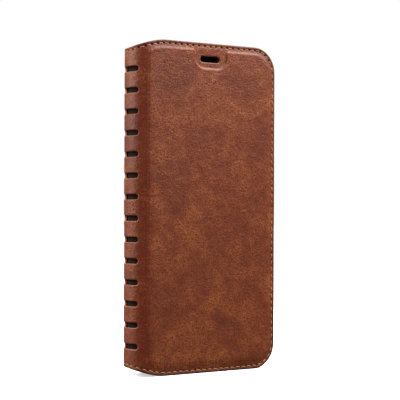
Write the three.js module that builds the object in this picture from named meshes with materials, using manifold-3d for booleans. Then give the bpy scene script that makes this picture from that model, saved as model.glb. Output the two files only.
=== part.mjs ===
/*
 * Folio wallet case for a 6.1 inch phone, closed and standing upright.
 *
 * One skin of leather wraps the front cover, a rounded spine and the back. It is drawn here as three
 * pieces that meet at the two folds. Fourteen slots cut through the skin of the spine show the dark
 * lining under it. The cover is a padded board with card pockets inside, and the back carries a
 * moulded phone shell.
 *
 * Millimetres. +X points to the free edge, away from the spine. -Y is the face of the cover and +Y the
 * face of the back. +Z is up. The origin is under the middle of the closed case, on its bottom edge.
 */
import * as THREE from "three";
import { mergeVertices } from "three/addons/utils/BufferGeometryUtils.js";
import Module from "manifold-3d";

const wasm = await Module();
wasm.setup();

// ---------------------------------------------------------------- driving dimensions

const HEIGHT = 156;
const RIGHT = 39.3; // free edge
const LEFT = -RIGHT; // outermost line of the spine
const BODY_DEPTH = 17; // from the border of the cover to the face of the back
const PAD_RAISE = 0.6; // the padded panel stands this far out of the border
const THREAD_PROUD = 0.15;
const CORNER = 12; // outer corners of the cover and the back

const PHONE = { x: 1, width: 69.8, height: 149.8, thickness: 7.8, corner: 10 };

// The spine in plan is half a superellipse, a little squarer than an ellipse.
const SPINE_START = -30; // where the flat faces end
const SQUARENESS = 2.4;
const FOLD_ANGLE = 58; // degrees from the middle of the spine to each fold
const FOLD_GAP = 0.012; // half the gap at a fold, as a share of a quarter of the spine
const THREAD_GAP = 0.024; // the same for the seam's thread

// The top and bottom edges of the skin fall towards the middle of the spine.
const DIP_LEAD = 1.6; // the fall starts this far before the flat face ends
const DIP_SLOPE = 0.262; // fall in height for each millimetre round the spine

const SLOT = { count: 14, pitch: 9.85, height: 2.4, angle: 45 };

const LEATHER = 1.0;
const RIM = 1.0; // width of the turned edge that hides the board
const LINING_INSET = 1.1;
const BOARD_EDGE = 1.3; // the boards stop this far inside the outline
const BOARD_LEFT = -32.2;

// Each layer lies between two depths below the outer face.
const FRONT_LAYERS = {
  foam: [0.5, 1.0],
  board: [1.1, 1.85],
  lining: [1.95, 2.35],
  cash: [2.45, 2.9],
  cards: [
    [3.0, 3.4],
    [3.5, 3.9],
    [4.0, 4.4],
  ],
};
const SPINE_LINING = [1.1, 1.5];
const BACK_LAYERS = { board: [1.1, 1.8], lining: [1.9, 2.3], adhesive: [2.35, 2.5] };
// The linings rise from under the boards to the spine between these distances from the middle of the
// spine, in quarters of it.
const LINING_RISE = [0.67, 0.85];

const SEAM = { inset: 2.0, thread: 0.45, depth: 0.3, clearance: 0.15 };

const PAD = { left: -33.4, right: 36.1, edge: 3.2, leftCorner: 2, wall: 0.9 };
const EARPIECE = { z: 148.4, width: 11.1, height: 3 };
const THUMB_RECESS = { width: 17.6, bottom: 143.8, corner: 5 };

const CARD_POCKETS = { left: -28.4, tops: [116, 104, 92], edge: 1.2, seamInset: 1.3 };
const CASH_POCKET = { left: -29.3, edge: 1.0 };
const MAGNET = { width: 4, height: 20, clearance: 0.3, x: 33.2, heights: [40, 76] };

const SHELL = { wall: 1.1, back: 1.0, lip: 0.6, lipReach: 0.8, outerRound: 4, innerRound: 3.2 };
const SHELL_BACK = BODY_DEPTH - BACK_LAYERS.adhesive[1] - 0.05; // depth of the shell's rear face
const PHONE_BACK = SHELL_BACK - SHELL.back;
const PHONE_FRONT = PHONE_BACK - PHONE.thickness;
const SHELL_FRONT = PHONE_FRONT - SHELL.lip;

const CAMERA_WINDOW = { x: PHONE.x + 21, z: 124, width: 15, height: 34, leatherExtra: 1 };
const CHARGE_PORT = { width: 14, height: 6 };
const SPEAKER_PORT = { x: PHONE.x + 19, width: 13, height: 2.6 };
const KEY_OPENING = { low: 92, high: 134, height: 5.6 };

const ARC_STEPS = 12; // facets in each quarter of the spine
const CORNER_STEPS = 8;
const FAR = 60; // past the object, for cutters

// ---------------------------------------------------------------- solids

const X_MIDDLE = (RIGHT + LEFT - THREAD_PROUD) / 2;
const Y_MIDDLE = (BODY_DEPTH + THREAD_PROUD - PAD_RAISE) / 2;
const radians = THREE.MathUtils.degToRad;

/** A closed geometry as a manifold-3d solid. */
function solid(geometry) {
  const flat = geometry.index ? geometry.toNonIndexed() : geometry;
  const bare = new THREE.BufferGeometry().setAttribute("position", flat.getAttribute("position"));
  const merged = mergeVertices(bare, 1e-4);
  const vertProperties = merged.attributes.position.array;
  const triVerts = new Uint32Array(merged.index.array);
  return new wasm.Manifold(new wasm.Mesh({ numProp: 3, vertProperties, triVerts }));
}

/** A manifold-3d solid as a named mesh, moved so that the origin is under the middle of the case. */
function part(name, body, material) {
  const made = body.getMesh();
  const positions = new Float32Array(made.numVert * 3);
  for (let i = 0; i < made.numVert; i++) {
    positions.set(made.vertProperties.subarray(i * made.numProp, i * made.numProp + 3), i * 3);
  }
  const indexed = new THREE.BufferGeometry();
  indexed.setAttribute("position", new THREE.BufferAttribute(positions, 3));
  indexed.setIndex(new THREE.BufferAttribute(made.triVerts, 1));
  const geometry = indexed.toNonIndexed();
  geometry.computeVertexNormals();
  const mesh = new THREE.Mesh(geometry, material);
  mesh.name = name;
  mesh.position.set(-X_MIDDLE, -Y_MIDDLE, 0);
  return mesh;
}

/** Extrudes a plan shape (x, y) from z = low to z = high. */
function prismZ(shape, low, high) {
  const geometry = new THREE.ExtrudeGeometry(shape, { depth: high - low, bevelEnabled: false });
  return solid(geometry.translate(0, 0, low));
}

/** Extrudes a front-view shape (x, z) from y = near to y = far. */
function prismY(shape, near, far) {
  const options = { depth: far - near, bevelEnabled: false, curveSegments: CORNER_STEPS };
  const geometry = new THREE.ExtrudeGeometry(shape, options);
  return solid(geometry.rotateX(Math.PI / 2).translate(0, far, 0));
}

function block(x0, x1, y0, y1, z0, z1) {
  const geometry = new THREE.BoxGeometry(x1 - x0, y1 - y0, z1 - z0);
  return solid(geometry.translate((x0 + x1) / 2, (y0 + y1) / 2, (z0 + z1) / 2));
}

/** A rectangle with round corners, centred on (x, z). */
function roundedRectangle(x, z, width, height, radius) {
  const [w, h] = [width / 2 - radius, height / 2 - radius];
  const shape = new THREE.Shape();
  shape.absarc(x + w, z - h, radius, -Math.PI / 2, 0);
  shape.absarc(x + w, z + h, radius, 0, Math.PI / 2);
  shape.absarc(x - w, z + h, radius, Math.PI / 2, Math.PI);
  shape.absarc(x - w, z - h, radius, Math.PI, 1.5 * Math.PI);
  return shape;
}

/** A slot shape with two half-round ends, centred on (x, z). */
function pill(x, z, width, height) {
  const radius = Math.min(width, height) / 2;
  const [w, h] = [width / 2 - radius, height / 2 - radius];
  const turn = h > 0 ? 0 : -Math.PI / 2;
  const shape = new THREE.Shape();
  shape.absarc(x + w, z + h, radius, turn, turn + Math.PI);
  shape.absarc(x - w, z - h, radius, turn + Math.PI, turn + 2 * Math.PI);
  return shape;
}

/** A closed skin over rings of equal point count, given in order along +Y. */
function loft(rings) {
  const count = rings[0].points.length;
  const positions = [];
  const corner = (ring, i) => [ring.points[i % count].x, ring.y, ring.points[i % count].y];
  const triangle = (a, b, c) => positions.push(...a, ...b, ...c);
  rings.slice(1).forEach((far, k) => {
    const near = rings[k];
    for (let i = 0; i < count; i++) {
      triangle(corner(near, i), corner(far, i + 1), corner(near, i + 1));
      triangle(corner(near, i), corner(far, i), corner(far, i + 1));
    }
  });
  const last = rings[rings.length - 1];
  for (let i = 1; i < count - 1; i++) {
    triangle(corner(rings[0], 0), corner(rings[0], i), corner(rings[0], i + 1));
    triangle(corner(last, 0), corner(last, i + 1), corner(last, i));
  }
  const geometry = new THREE.BufferGeometry();
  geometry.setAttribute("position", new THREE.Float32BufferAttribute(positions, 3));
  return solid(geometry);
}

// ---------------------------------------------------------------- the wrap in plan

/** A point of the spine at an angle from its middle, plus towards the cover, with its inward normal. */
function spinePoint(angle) {
  const [reach, half] = [SPINE_START - LEFT, BODY_DEPTH / 2];
  const [c, s] = [Math.cos(radians(angle)), Math.sin(radians(angle))];
  const raised = (value, power) => Math.sign(value) * Math.abs(value) ** power;
  const along = 2 / SQUARENESS;
  const point = new THREE.Vector2(SPINE_START - reach * raised(c, along), half - half * raised(s, along));
  const across = 2 - along;
  const normal = new THREE.Vector2(raised(c, across) / reach, raised(s, across) / half);
  return { point, normal: normal.normalize() };
}

/**
 * The outer line of the case, by station: 0 to 1 along the cover from its free edge, 1 to 3 round the
 * spine, 3 to 4 along the back to its free edge.
 */
function wrapPoint(station) {
  if (station > 1 && station < 3) return spinePoint(90 * (2 - station));
  const front = station <= 1;
  const share = front ? station : station - 3;
  const [from, to] = front ? [RIGHT, SPINE_START] : [SPINE_START, RIGHT];
  const point = new THREE.Vector2(THREE.MathUtils.lerp(from, to, share), front ? 0 : BODY_DEPTH);
  return { point, normal: new THREE.Vector2(0, front ? 1 : -1) };
}

/**
 * The wrap from one station to another, between two depths below the outer line, as a full prism. A
 * depth is a number, or a function of the station.
 */
function wrap(from, to, outer, inner) {
  const stations = [from];
  for (let i = Math.floor(from * ARC_STEPS) + 1; i < to * ARC_STEPS - 1e-6; i++) {
    if (i >= ARC_STEPS && i <= 3 * ARC_STEPS) stations.push(i / ARC_STEPS);
  }
  stations.push(to);
  const line = (depth) =>
    stations.map((station) => {
      const { point, normal } = wrapPoint(station);
      return point.addScaledVector(normal, typeof depth === "function" ? depth(station) : depth);
    });
  return prismZ(new THREE.Shape([...line(outer), ...line(inner).reverse()]), 0, HEIGHT);
}

/** A lining's depth by station, from its depth under the boards to the spine lining's. */
const liningDepth = (deep, shallow) => (station) =>
  THREE.MathUtils.mapLinear(
    THREE.MathUtils.clamp(Math.abs(station - 2), ...LINING_RISE),
    ...LINING_RISE,
    shallow,
    deep,
  );
const liningDepths = (layer) => layer.map((deep, i) => liningDepth(deep, SPINE_LINING[i]));

const FRONT_FOLD = 2 - FOLD_ANGLE / 90;
const BACK_FOLD = 2 + FOLD_ANGLE / 90;
const frontWrap = (outer, inner, gap = FOLD_GAP) => wrap(0, FRONT_FOLD - gap, outer, inner);
const spineWrap = (outer, inner, gap = FOLD_GAP) => wrap(FRONT_FOLD + gap, BACK_FOLD - gap, outer, inner);
const backWrap = (outer, inner, gap = FOLD_GAP) => wrap(BACK_FOLD + gap, 4, outer, inner);

// ---------------------------------------------------------------- the outline in front view

/** The falling part of the edge, as points (x, fall), from the cover towards the spine. */
function dipLine() {
  const points = [new THREE.Vector2(SPINE_START + DIP_LEAD, 0)];
  let travelled = DIP_LEAD;
  let last = spinePoint(90).point;
  for (let i = 0; i < ARC_STEPS; i++) {
    const { point } = spinePoint(90 * (1 - (i + 0.5) / ARC_STEPS));
    travelled += point.distanceTo(last);
    points.push(new THREE.Vector2(point.x, DIP_SLOPE * travelled));
    last = point;
  }
  return points;
}

/** Everything inside the case's outline in front view, less a margin on its three free sides. */
function outline(inset) {
  const dips = dipLine();
  const low = dips.map(({ x, y }) => new THREE.Vector2(x, y + inset));
  const high = dips.map(({ x, y }) => new THREE.Vector2(x, HEIGHT - y - inset));
  const deepest = dips[dips.length - 1].y + inset;
  const beyond = LEFT - 2;
  const shape = new THREE.Shape();
  shape.moveTo(beyond, deepest);
  low.reverse().forEach(({ x, y }) => shape.lineTo(x, y));
  shape.absarc(RIGHT - CORNER, CORNER, CORNER - inset, -Math.PI / 2, 0);
  shape.absarc(RIGHT - CORNER, HEIGHT - CORNER, CORNER - inset, 0, Math.PI / 2);
  high.forEach(({ x, y }) => shape.lineTo(x, y));
  shape.lineTo(beyond, HEIGHT - deepest);
  return prismY(shape, -FAR, FAR);
}

/** The strip of the outline between two insets: along the top, the free edge and the bottom. */
const borderStrip = (outer, inner) => outline(outer).subtract(outline(inner));

/** The padded panel in front view, less a margin, with the thumb recess cut out of its top edge. */
function padOutline(margin) {
  const [left, right] = [PAD.left + margin, PAD.right - margin];
  const [bottom, top] = [PAD.edge + margin, HEIGHT - PAD.edge - margin];
  const radius = CORNER - PAD.edge - margin;
  const leftRadius = PAD.leftCorner;
  const shape = new THREE.Shape();
  shape.absarc(right - radius, bottom + radius, radius, -Math.PI / 2, 0);
  shape.absarc(right - radius, top - radius, radius, 0, Math.PI / 2);
  const fall = DIP_SLOPE * (SPINE_START + DIP_LEAD - left);
  const dipStart = SPINE_START + DIP_LEAD;
  shape.lineTo(dipStart, top);
  shape.lineTo(left + leftRadius, top - fall);
  shape.lineTo(left, top - fall - leftRadius);
  shape.lineTo(left, bottom + fall + leftRadius);
  shape.lineTo(left + leftRadius, bottom + fall);
  shape.lineTo(dipStart, bottom);
  const width = THUMB_RECESS.width + 2 * margin;
  const low = THUMB_RECESS.bottom - margin;
  const high = HEIGHT + THUMB_RECESS.corner * 2;
  const recess = roundedRectangle(PHONE.x, (low + high) / 2, width, high - low, THUMB_RECESS.corner + margin);
  return prismY(shape, -FAR, FAR).subtract(prismY(recess, -FAR, FAR));
}

// ---------------------------------------------------------------- seams

/** The groove that a seam is sewn in. */
function seamGroove(piece) {
  const { inset, thread, depth, clearance } = SEAM;
  const strip = borderStrip(inset - clearance, inset + thread + clearance);
  return piece(-FAR / 10, depth + clearance).intersect(strip);
}

/** The seam's thread, lying in its groove. */
function seamThread(piece) {
  const { inset, thread, depth } = SEAM;
  return piece(-THREAD_PROUD, depth, THREAD_GAP).intersect(borderStrip(inset, inset + thread));
}

const upperHalf = block(-FAR, FAR, -FAR, FAR, HEIGHT / 2, HEIGHT + FAR);

// ---------------------------------------------------------------- front cover

function frontLeather() {
  const [foamOuter] = FRONT_LAYERS.foam;
  const boardInner = FRONT_LAYERS.board[1];
  const slab = frontWrap(0, boardInner).intersect(outline(0));
  const tray = wrap(0, FRONT_FOLD + 0.2, LEATHER, boardInner + 1).intersect(outline(RIM));
  const raised = wrap(0, FRONT_FOLD - 0.1, -PAD_RAISE, foamOuter).intersect(padOutline(0));
  const hollow = wrap(0, FRONT_FOLD - 0.1, foamOuter - 0.05, LEATHER + 0.1).intersect(padOutline(PAD.wall));
  return slab
    .subtract(tray)
    .subtract(seamGroove(frontWrap))
    .add(raised)
    .subtract(hollow)
    .subtract(earpiece(0));
}

function earpiece(extra) {
  const { z, width, height } = EARPIECE;
  return prismY(pill(PHONE.x, z, width + 2 * extra, height + 2 * extra), -5, 10);
}

function frontFoam() {
  return wrap(0, FRONT_FOLD - 0.1, ...FRONT_LAYERS.foam).intersect(padOutline(PAD.wall + 0.15));
}

/** Cuts the pockets that a cover's magnets lie in. */
function withMagnetHoles(body) {
  const { width, height, clearance, x, heights } = MAGNET;
  const [w, h] = [width / 2 + clearance, height / 2 + clearance];
  const holes = heights.map((z) => block(x - w, x + w, -FAR, FAR, z - h, z + h));
  return holes.reduce((rest, hole) => rest.subtract(hole), body);
}

function magnet(z, near, far) {
  const { width, height, x } = MAGNET;
  return block(x - width / 2, x + width / 2, near, far, z - height / 2, z + height / 2);
}

/** A stiff board inside a cover, between two depths, from the spine side to the free edge. */
function board(layer) {
  const rightOfFold = block(BOARD_LEFT, FAR, -FAR, FAR, -FAR, 4 * FAR);
  return layer.intersect(outline(BOARD_EDGE)).intersect(rightOfFold);
}

function frontBoard() {
  const full = board(wrap(0, FRONT_FOLD, ...FRONT_LAYERS.board));
  return withMagnetHoles(full.subtract(earpiece(0.4)));
}

function frontLining() {
  const layer = wrap(0, FRONT_FOLD - 0.04, ...liningDepths(FRONT_LAYERS.lining));
  return layer.intersect(outline(LINING_INSET)).subtract(earpiece(0.4));
}

/** A flat pocket panel inside the cover, sewn in at its free sides. */
function pocketPanel([near, far], left, edge, top) {
  return outline(edge).intersect(block(left, FAR, near, far, -FAR, top));
}

function cashPocketPanel() {
  const { left, edge } = CASH_POCKET;
  return pocketPanel(FRONT_LAYERS.cash, left, edge, 4 * FAR).subtract(earpiece(0.4));
}

/** The seam down the card pockets' left side, which steps down from each pocket to the next. */
function pocketSeamThread() {
  const { left, tops, edge, seamInset } = CARD_POCKETS;
  const thickness = 0.3;
  const gap = 0.05;
  const x = left + seamInset;
  const levels = FRONT_LAYERS.cards.map(([, face]) => face + gap).reverse();
  const heights = [...tops].reverse();
  let low = edge + SEAM.inset + 2;
  const runs = levels.map((level, i) => {
    const high = heights[i] + (i < 2 ? thickness + gap : -1);
    const above = levels[i - 1] ?? level;
    const run = block(x, x + SEAM.thread, level, level + thickness, low, high);
    const riser = block(x, x + SEAM.thread, level, above + thickness, low, low + thickness);
    low = heights[i] + gap;
    return run.add(riser);
  });
  return runs.reduce((whole, run) => whole.add(run));
}

// ---------------------------------------------------------------- spine

function spineLeather() {
  const skin = spineWrap(0, LEATHER).intersect(outline(0)).subtract(seamGroove(spineWrap));
  const { count, pitch, height, angle } = SLOT;
  const [near, far] = [spinePoint(angle).point.y, spinePoint(-angle).point.y];
  const cutter = pill((near + far) / 2, 0, far - near, height);
  const geometry = new THREE.ExtrudeGeometry(cutter, {
    depth: FAR,
    bevelEnabled: false,
    curveSegments: 3,
  });
  // The pill lies in (x, y); turned, its length runs along Y and it cuts along X.
  geometry.rotateX(Math.PI / 2).rotateZ(Math.PI / 2);
  return Array.from({ length: count }).reduce((body, _, i) => {
    const z = HEIGHT / 2 + (i - (count - 1) / 2) * pitch;
    return body.subtract(solid(geometry.clone().translate(SPINE_START - FAR, 0, z)));
  }, skin);
}

function spineLining() {
  return spineWrap(...SPINE_LINING).intersect(outline(0.5));
}

// ---------------------------------------------------------------- back

function cameraWindow(extra) {
  const { x, z, width, height } = CAMERA_WINDOW;
  return prismY(pill(x, z, width + 2 * extra, height + 2 * extra), SHELL_FRONT, FAR);
}

function backLeather() {
  const boardInner = BACK_LAYERS.board[1];
  const slab = backWrap(0, boardInner).intersect(outline(0));
  const tray = wrap(BACK_FOLD - 0.2, 4, LEATHER, boardInner + 1).intersect(outline(RIM));
  return slab
    .subtract(tray)
    .subtract(seamGroove(backWrap))
    .subtract(cameraWindow(CAMERA_WINDOW.leatherExtra));
}

function backBoard() {
  const full = board(wrap(BACK_FOLD, 4, ...BACK_LAYERS.board));
  return withMagnetHoles(full.subtract(cameraWindow(CAMERA_WINDOW.leatherExtra + 0.5)));
}

function backLining() {
  const layer = wrap(BACK_FOLD + 0.04, 4, ...liningDepths(BACK_LAYERS.lining));
  return layer.intersect(outline(LINING_INSET)).subtract(cameraWindow(CAMERA_WINDOW.leatherExtra));
}

function shellAdhesive() {
  const [outer, inner] = BACK_LAYERS.adhesive;
  const [width, height] = [PHONE.width - 12, PHONE.height - 12];
  const sheet = roundedRectangle(PHONE.x, HEIGHT / 2, width, height, 6);
  const body = prismY(sheet, BODY_DEPTH - inner, BODY_DEPTH - outer);
  return body.subtract(cameraWindow(CAMERA_WINDOW.leatherExtra));
}

/** One ring of the shell: the phone's outline, grown or shrunk, at a depth. */
function phoneRing(grow, y) {
  const { x, width, height, corner } = PHONE;
  const shape = roundedRectangle(x, HEIGHT / 2, width + 2 * grow, height + 2 * grow, corner + grow);
  return { y, points: shape.getPoints(CORNER_STEPS - 2).slice(0, -1) };
}

/** Rings that round an edge over a quarter circle, from the face inwards. */
function roundedEdge(grow, radius, face, towards) {
  return [0, 1 / 3, 2 / 3, 1].map((share) => {
    const angle = (share * Math.PI) / 2;
    const sideways = radius * (1 - Math.sin(angle));
    return phoneRing(grow - sideways, face + towards * radius * (1 - Math.cos(angle)));
  });
}

function phoneShell() {
  const { wall, lipReach, outerRound, innerRound } = SHELL;
  const outer = loft([
    ...roundedEdge(wall, 1, SHELL_FRONT, 1),
    ...roundedEdge(wall, outerRound, SHELL_BACK, -1).reverse(),
  ]);
  const cavity = loft([
    phoneRing(0, PHONE_FRONT),
    ...roundedEdge(0, innerRound, PHONE_BACK, -1).reverse(),
  ]);
  const mouth = loft([phoneRing(-lipReach, SHELL_FRONT - 1), phoneRing(-lipReach, PHONE_FRONT + 1)]);
  const middle = (PHONE_FRONT + PHONE_BACK) / 2;
  const port = ({ x = PHONE.x, width, height }) => {
    return prismZ(pill(x, middle, width, height), -5, HEIGHT / 4);
  };
  const keys = block(
    PHONE.x + PHONE.width / 2 - 3,
    FAR,
    middle - KEY_OPENING.height / 2,
    middle + KEY_OPENING.height / 2,
    KEY_OPENING.low,
    KEY_OPENING.high,
  );
  return outer
    .subtract(cavity)
    .subtract(mouth)
    .subtract(cameraWindow(0))
    .subtract(port(CHARGE_PORT))
    .subtract(port(SPEAKER_PORT))
    .subtract(keys);
}

// ---------------------------------------------------------------- assembly

const material = (color, roughness, metalness = 0) =>
  new THREE.MeshStandardMaterial({ color, roughness, metalness });
const LOOKS = {
  leather: material(0x8a4b33, 0.55),
  thread: material(0xd09a6a, 0.8),
  lining: material(0x2b211e, 0.9),
  pocket: material(0x7c4430, 0.6),
  board: material(0x8d8577, 0.9),
  foam: material(0x3a3a3c, 0.95),
  shell: material(0x1c1a1a, 0.45),
  magnet: material(0xb8bcc0, 0.3, 1),
  adhesive: material(0xe6e2d8, 0.7),
};

const [magnetFrontNear, magnetFrontFar] = FRONT_LAYERS.board;
const [magnetBackNear, magnetBackFar] = BACK_LAYERS.board.map((depth) => BODY_DEPTH - depth).reverse();
const spineThread = seamThread(spineWrap);

const walletCase = new THREE.Group();
walletCase.name = "phone_wallet_case";
walletCase.add(
  part("front_leather", frontLeather(), LOOKS.leather),
  part("front_foam", frontFoam(), LOOKS.foam),
  part("front_board", frontBoard(), LOOKS.board),
  part("front_lining", frontLining(), LOOKS.lining),
  part("cash_pocket_panel", cashPocketPanel(), LOOKS.pocket),
  part("front_seam_thread", seamThread(frontWrap), LOOKS.thread),
  part("pocket_seam_thread", pocketSeamThread(), LOOKS.thread),
  part("spine_leather", spineLeather(), LOOKS.leather),
  part("spine_lining", spineLining(), LOOKS.lining),
  part("spine_seam_thread_top", spineThread.intersect(upperHalf), LOOKS.thread),
  part("spine_seam_thread_bottom", spineThread.subtract(upperHalf), LOOKS.thread),
  part("back_leather", backLeather(), LOOKS.leather),
  part("back_board", backBoard(), LOOKS.board),
  part("back_lining", backLining(), LOOKS.lining),
  part("back_seam_thread", seamThread(backWrap), LOOKS.thread),
  part("shell_adhesive", shellAdhesive(), LOOKS.adhesive),
  part("phone_shell", phoneShell(), LOOKS.shell),
);
FRONT_LAYERS.cards.forEach((layer, i) => {
  const { left, tops, edge } = CARD_POCKETS;
  const panel = pocketPanel(layer, left, edge, tops[i]);
  walletCase.add(part(`card_pocket_${i + 1}`, panel, LOOKS.pocket));
});
["lower", "upper"].forEach((place, i) => {
  const front = magnet(MAGNET.heights[i], magnetFrontNear, magnetFrontFar);
  const back = magnet(MAGNET.heights[i], magnetBackNear, magnetBackFar);
  walletCase.add(part(`magnet_front_${place}`, front, LOOKS.magnet));
  walletCase.add(part(`magnet_back_${place}`, back, LOOKS.magnet));
});

export default walletCase;
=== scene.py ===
"""A closed folio wallet case in brown leather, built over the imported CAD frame.

Lengths are in millimetres while a piece is laid out, and turn into metres when its mesh is made. The
leather and the linings are laid out flat, as (u, z): u runs round the wrap from the cover, through 0
at the middle of the spine, to the back, and z is the height. A third number is the depth below the
leather's outer face.
"""

import math
import random

import bmesh
import bpy
import numpy as np
from mathutils import Matrix, Vector
from mathutils.geometry import delaunay_2d_cdt

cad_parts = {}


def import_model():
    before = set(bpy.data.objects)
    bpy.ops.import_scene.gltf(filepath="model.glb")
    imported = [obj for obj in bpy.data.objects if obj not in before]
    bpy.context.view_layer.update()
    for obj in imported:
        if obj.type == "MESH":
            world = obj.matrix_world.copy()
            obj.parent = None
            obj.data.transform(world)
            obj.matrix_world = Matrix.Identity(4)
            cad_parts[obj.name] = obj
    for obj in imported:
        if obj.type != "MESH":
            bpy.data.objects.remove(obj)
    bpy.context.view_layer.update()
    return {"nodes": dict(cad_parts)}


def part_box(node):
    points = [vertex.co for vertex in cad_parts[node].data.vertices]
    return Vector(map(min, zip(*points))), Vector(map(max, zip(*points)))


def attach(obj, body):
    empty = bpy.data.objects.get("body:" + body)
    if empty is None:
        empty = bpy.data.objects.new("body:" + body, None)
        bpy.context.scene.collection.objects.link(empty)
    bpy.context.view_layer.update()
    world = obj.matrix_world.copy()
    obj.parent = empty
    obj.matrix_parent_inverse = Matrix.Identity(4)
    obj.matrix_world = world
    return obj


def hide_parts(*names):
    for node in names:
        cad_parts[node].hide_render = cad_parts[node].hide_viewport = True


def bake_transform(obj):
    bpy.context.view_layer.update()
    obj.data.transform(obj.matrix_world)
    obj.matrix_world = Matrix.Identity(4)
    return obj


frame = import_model()
random.seed(7)

# ---------------------------------------------------------------- dimensions, in mm

HEIGHT = 156.0
RIGHT = 39.3  # the free edge
DEPTH = 17.0
SPINE_START = -30.0  # where the flat faces end
SQUARENESS = 2.4  # the power of the spine's superellipse
FOLD_ANGLE = 58.0  # degrees from the middle of the spine to each fold
SLOT_ANGLE = 43.5  # and to the ends of the slots
SLOT_COUNT, SLOT_PITCH, SLOT_HEIGHT = 14, 9.85, 2.55
CORNER = 12.0
PHONE_X = 1.0  # the middle of the phone
PAD_RAISE = 0.6
PAD_SWELL = 0.12  # the leather stands this much prouder over the padding than the solid frame says
PAD = {"left": -33.4, "right": 36.0, "edge": 3.3, "turn": 2.6, "bevel": 1.4}
# The padding is slack at its lower end, up to a height, and near the free edge, and widens the bevel.
SLACK = {"low_reach": 26.0, "low": 4.8, "free_start": 14.0, "free_reach": 9.0, "free": 2.0}
BEVEL_SHARE = 0.42  # the share of the bevel that lies outside the panel's line
RECESS = {"half": 8.9, "floor": 143.9, "corner": 5.2, "lip": 1.2}  # the thumb recess
RECESS_SHIFT = 0.2  # it lies this far from the middle of the phone
EARPIECE = {"z": 148.3, "width": 11.1, "height": 3.0, "clearance": 0.4}
CAMERA_WINDOW = {"x": PHONE_X + 21, "z": 124.0, "width": 17.0, "height": 36.0}
LEATHER = 1.0
RIM_DEPTH = 1.9  # the turned edge of each cover is this thick
RIM = 1.0  # and this wide
RIM_FADE = 0.35
FOAM = {"lift": 0.56, "outer": 0.47, "inner": 1.04, "shrink": 1.7}
LINING = 0.4  # the thickness of the cloth
LINING_INSET = 1.15
# Depths of the linings' outer side: under the skin near a fold, and added under the boards and at the
# middle of the spine.
LINING_DEPTH = {"fold": 1.1, "board": 0.85, "spine": 0.7}
SEAM_INSET = 1.62
GROOVE = {"depth": 0.16, "half": 0.5}  # the line that the seam presses into the skin
STITCH_PITCH, STITCH_GAP = 3.26, 1.05
THREAD_RADIUS = 0.18
PIT_DEPTH = 0.5
HOLE = {"top": 0.38, "side": 0.14, "bottom": 0.22, "reach": 8.0}  # sizes of the needle holes and of the painted shade in them
# How far the spine's ends draw in: the top edge falls and the bottom edge rises, most a little
# behind the middle of the spine.
DIP = {"depth": 4.15, "middle": 2.5, "front_reach": 24.0, "back_reach": 19.5}
CASH = {"left": -29.3, "edge": 1.0, "depth": (2.45, 2.9), "top": HEIGHT - 1.0}
CARDS = [
    {"left": -28.4, "edge": 1.2, "depth": (3.0, 3.4), "top": 116.0},
    {"left": -28.4, "edge": 1.2, "depth": (3.5, 3.9), "top": 104.0},
    {"left": -28.4, "edge": 1.2, "depth": (4.0, 4.4), "top": 92.0},
]
POCKET_SEAM = {"inset": 1.3, "low": 4.5}  # the seam down the card pockets' left side

# The frame's origin is under the middle of the case; the layout's is on the face of the cover.
leather_low, leather_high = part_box("front_leather")
X_MIDDLE = RIGHT - leather_high.x * 1000
Y_MIDDLE = -PAD_RAISE - leather_low.y * 1000


def in_frame(x, y, z):
    """Layout millimetres to metres in the frame."""
    return np.stack([x - X_MIDDLE, y - Y_MIDDLE, z], -1) / 1000


# ---------------------------------------------------------------- the wrap in plan


def spine_table():
    """Points and inward normals round the wrap, with u, the distance from the spine's middle."""
    angles = np.radians(np.linspace(90, -90, 1201))
    c, s = np.clip(np.cos(angles), 0, 1), np.sin(angles)
    power = 2 / SQUARENESS
    reach, half = SPINE_START + RIGHT, DEPTH / 2
    x = SPINE_START - reach * c**power
    y = half - half * np.sign(s) * np.abs(s) ** power
    nx = c ** (2 - power) / reach
    ny = np.sign(s) * np.abs(s) ** (2 - power) / half
    x = np.concatenate([[RIGHT + 30], x, [RIGHT + 30]])
    y = np.concatenate([[0], y, [DEPTH]])
    nx = np.concatenate([[0], nx, [0]])
    ny = np.concatenate([[1], ny, [-1]])
    size = np.hypot(nx, ny)
    run = np.concatenate([[0], np.cumsum(np.hypot(np.diff(x), np.diff(y)))])
    u = run - run[-1] / 2
    return u, x, y, nx / size, ny / size


PLAN_U, PLAN_X, PLAN_Y, PLAN_NX, PLAN_NY = spine_table()


def on_wrap(u, z, depth):
    """Layout (u, z, depth) to metres in the frame."""
    x, y, nx, ny = (np.interp(u, PLAN_U, table) for table in (PLAN_X, PLAN_Y, PLAN_NX, PLAN_NY))
    size = np.hypot(nx, ny)
    return in_frame(x + nx / size * depth, y + ny / size * depth, z)


def u_at_angle(angle):
    """u of the point at an angle from the middle of the spine, plus towards the cover."""
    power = 2 / SQUARENESS
    half = DEPTH / 2
    y = half - half * math.sin(math.radians(abs(angle))) ** power
    u = np.interp(y, PLAN_Y[1:-1], PLAN_U[1:-1])
    return float(u) if angle >= 0 else -float(u)


def u_at_x(x, front=True):
    """u of the point of the cover, or of the back, at x."""
    half = len(PLAN_U) // 2
    u = float(np.interp(-x, -PLAN_X[: half + 1], PLAN_U[: half + 1]))
    return u if front else -u


def on_cover(x, z, depth):
    """A flat layer inside the cover: x and z as laid out, depth below the cover's face."""
    return in_frame(x, np.zeros_like(x) + depth, z)


EDGE_U = abs(u_at_x(RIGHT))
FOLD_U = abs(u_at_angle(FOLD_ANGLE))
SLOT_U = abs(u_at_angle(SLOT_ANGLE))
FOLD_SHADE_BAND = {"middle": (SLOT_U + abs(u_at_x(PAD["left"]))) / 2 + 0.4, "half": 3.6}  # the band of painted shade beside the folds
SPLIT_U = (SLOT_U + FOLD_U) / 2 - 0.2  # the two pieces of the skin meet here, behind the slots


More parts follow.
